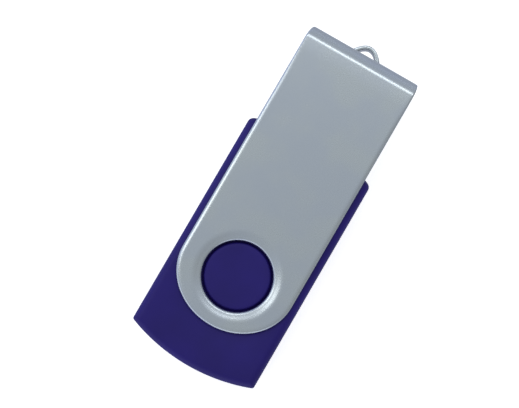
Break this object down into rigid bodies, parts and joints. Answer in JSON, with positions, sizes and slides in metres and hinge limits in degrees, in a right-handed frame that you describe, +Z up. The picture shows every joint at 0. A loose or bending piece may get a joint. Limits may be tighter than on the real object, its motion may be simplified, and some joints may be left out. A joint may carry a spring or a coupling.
{
  "type": "usb flash drive",
  "caption": "Flat USB flash drive: a plastic stick with a Standard-A plug, covered by a sheet-metal U clip that swivels right round on a boss and ends in a lanyard loop.",
  "frame": {"origin": "middle of the underside: centre of the bounding box in X and Y, on the lower leg of the clip", "axes": "+X along the drive towards the plug and the clip's closed end, +Y across the width, +Z up through the thickness"},
  "size_m": [0.0534, 0.02, 0.01],
  "materials": {
    "clip_steel": "satin, finely speckled silver paint",
    "navy_plastic": "satin moulded plastic with softened edges",
    "plug_steel": "bright nickel plating on stamped steel",
    "black_nylon": "moulded, slightly shiny",
    "gold_plate": "gold-plated stamped strip",
    "green_laminate": "solder-masked glass laminate",
    "chip_moulding": "matt epoxy moulding",
    "crystal_can": "pressed metal can",
    "led_lens": "milky lens",
    "capacitor_ceramic": "fired ceramic with tinned ends",
    "resistor_film": "glazed film with tinned ends"
  },
  "bodies": {
    "stick": {"upper_shell": "navy_plastic", "lower_shell": "navy_plastic", "plug_shell": "plug_steel", "contact_carrier": "black_nylon", "contact_power": "gold_plate", "contact_data_minus": "gold_plate", "contact_data_plus": "gold_plate", "contact_ground": "gold_plate", "circuit_board": "green_laminate", "memory_chip": "chip_moulding", "controller_chip": "chip_moulding", "voltage_regulator": "chip_moulding", "clock_crystal": "crystal_can", "activity_led": "led_lens", "capacitor_1": "capacitor_ceramic", "capacitor_2": "capacitor_ceramic", "capacitor_3": "capacitor_ceramic", "capacitor_4": "capacitor_ceramic", "capacitor_5": "capacitor_ceramic", "resistor_1": "resistor_film", "resistor_2": "resistor_film", "resistor_3": "resistor_film", "resistor_4": "resistor_film", "resistor_5": "resistor_film"},
    "clip": {"swivel_clip": "clip_steel"}
  },
  "joints": [
    {"name": "clip_swivel", "type": "hinge", "parent": "stick", "child": "clip", "pos_m": [-0.01212, 0, 0.005], "axis": [0, 0, 1], "continuous": true}
  ]
}
